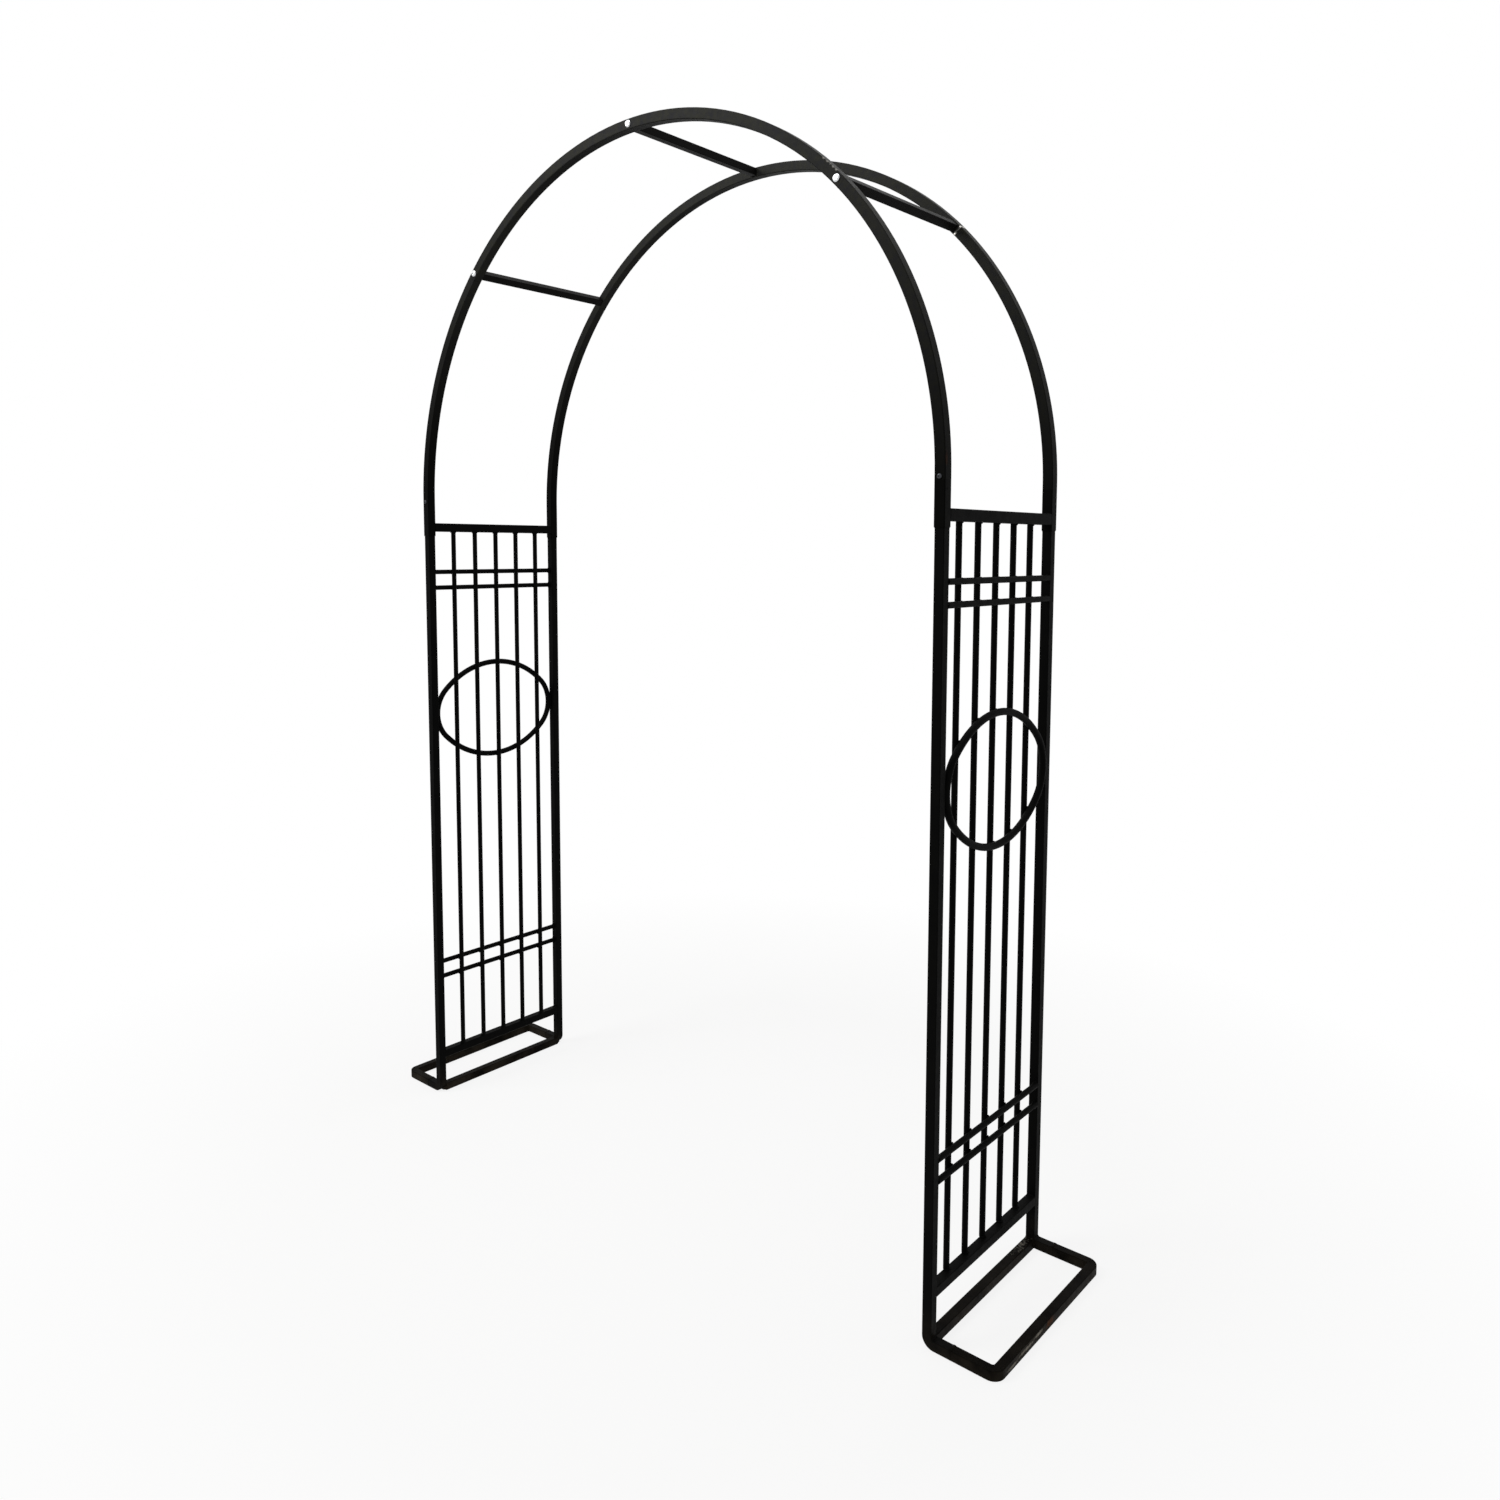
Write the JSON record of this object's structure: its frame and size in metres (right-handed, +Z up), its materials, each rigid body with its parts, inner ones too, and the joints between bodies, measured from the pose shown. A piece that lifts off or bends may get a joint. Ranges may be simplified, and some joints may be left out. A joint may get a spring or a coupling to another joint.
{
  "type": "garden arch",
  "caption": "Free-standing walk-through metal garden arch: welded trellis side panels on ground frames, screwed sectional hoops and cross rungs for climbing plants.",
  "frame": {"origin": "on the ground, midway between the four posts", "axes": "+Z up, +X to the right seen from the front, -Y to the front"},
  "size_m": [1.668, 0.4074, 2.1751],
  "materials": {
    "hoop_coat": "satin",
    "panel_coat": "satin",
    "ground_coat": "satin, worn",
    "zinc_screws": "zinc plated",
    "dark_screws": "blackened",
    "plain_steel": "mill"
  },
  "bodies": {
    "root": {"left_front_post": "panel_coat", "left_front_collar": "hoop_coat", "left_rear_post": "panel_coat", "left_rear_collar": "hoop_coat", "left_top_bar": "panel_coat", "left_bottom_bar": "panel_coat", "left_rod_1": "panel_coat", "left_rod_2": "panel_coat", "left_rod_3": "panel_coat", "left_rod_4": "panel_coat", "left_rod_5": "panel_coat", "left_upper_crossbar_top": "panel_coat", "left_upper_crossbar_bottom": "panel_coat", "left_lower_crossbar_top": "panel_coat", "left_lower_crossbar_bottom": "panel_coat", "left_ring": "panel_coat", "left_ground_bar": "ground_coat", "left_ground_rail": "ground_coat", "right_front_post": "panel_coat", "right_front_collar": "hoop_coat", "right_rear_post": "panel_coat", "right_rear_collar": "hoop_coat", "right_top_bar": "panel_coat", "right_bottom_bar": "panel_coat", "right_rod_1": "panel_coat", "right_rod_2": "panel_coat", "right_rod_3": "panel_coat", "right_rod_4": "panel_coat", "right_rod_5": "panel_coat", "right_upper_crossbar_top": "panel_coat", "right_upper_crossbar_bottom": "panel_coat", "right_lower_crossbar_top": "panel_coat", "right_lower_crossbar_bottom": "panel_coat", "right_ring": "panel_coat", "right_ground_bar": "ground_coat", "right_ground_rail": "ground_coat", "front_hoop_left_leg": "hoop_coat", "front_hoop_left_splice": "plain_steel", "front_hoop_right_leg": "hoop_coat", "front_hoop_right_splice": "plain_steel", "front_hoop_crown": "hoop_coat", "rear_hoop_left_leg": "hoop_coat", "rear_hoop_left_splice": "plain_steel", "rear_hoop_right_leg": "hoop_coat", "rear_hoop_right_splice": "plain_steel", "rear_hoop_crown": "hoop_coat", "left_rung": "hoop_coat", "crown_rung": "hoop_coat", "right_rung": "hoop_coat", "rung_plugs": "plain_steel", "rung_screws": "zinc_screws", "leg_screws": "dark_screws"}
  },
  "joints": []
}
